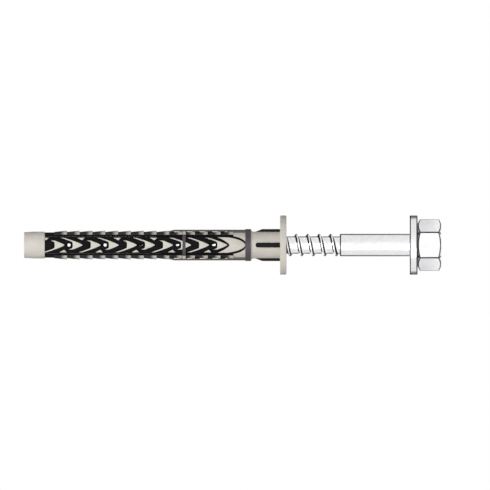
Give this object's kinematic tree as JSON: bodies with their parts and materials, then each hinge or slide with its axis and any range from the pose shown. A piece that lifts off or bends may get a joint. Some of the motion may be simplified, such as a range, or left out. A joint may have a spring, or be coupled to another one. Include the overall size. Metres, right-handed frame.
{
  "type": "frame fixing",
  "caption": "Nylon expansion sleeve for fixing a frame to masonry, with its hex-head screw and washer started in the bore.",
  "frame": {"origin": "middle of the end face of the screw's head, on which the fixing stands", "axes": "+Z along the fixing's axis from the screw's head towards the sleeve's tip, +X towards a corner of the hexagon and one toothed side leg, -Y towards the leg with the arrow-shaped lamellas"},
  "size_m": [0.0186, 0.0186, 0.1304],
  "materials": {
    "nylon": "satin",
    "zinc_washer": "bright zinc",
    "zinc_screw": "bright zinc"
  },
  "bodies": {
    "sleeve": {"expansion_sleeve": "nylon"},
    "washer": {"washer": "zinc_washer"},
    "screw": {"hex_screw": "zinc_screw"}
  },
  "joints": [
    {"name": "screw_advance", "type": "slide", "parent": "sleeve", "child": "washer", "axis": [0, 0, 1], "range_m": [0, 0.0385]},
    {"name": "screw_turn", "type": "hinge", "parent": "washer", "child": "screw", "pos_m": [0, 0, 0], "axis": [0, 0, 1], "range_deg": [0, 3850]}
  ],
  "couplings": [
    {"joint": "screw_turn", "follows": "screw_advance", "rad_per_m": 1745.3}
  ]
}
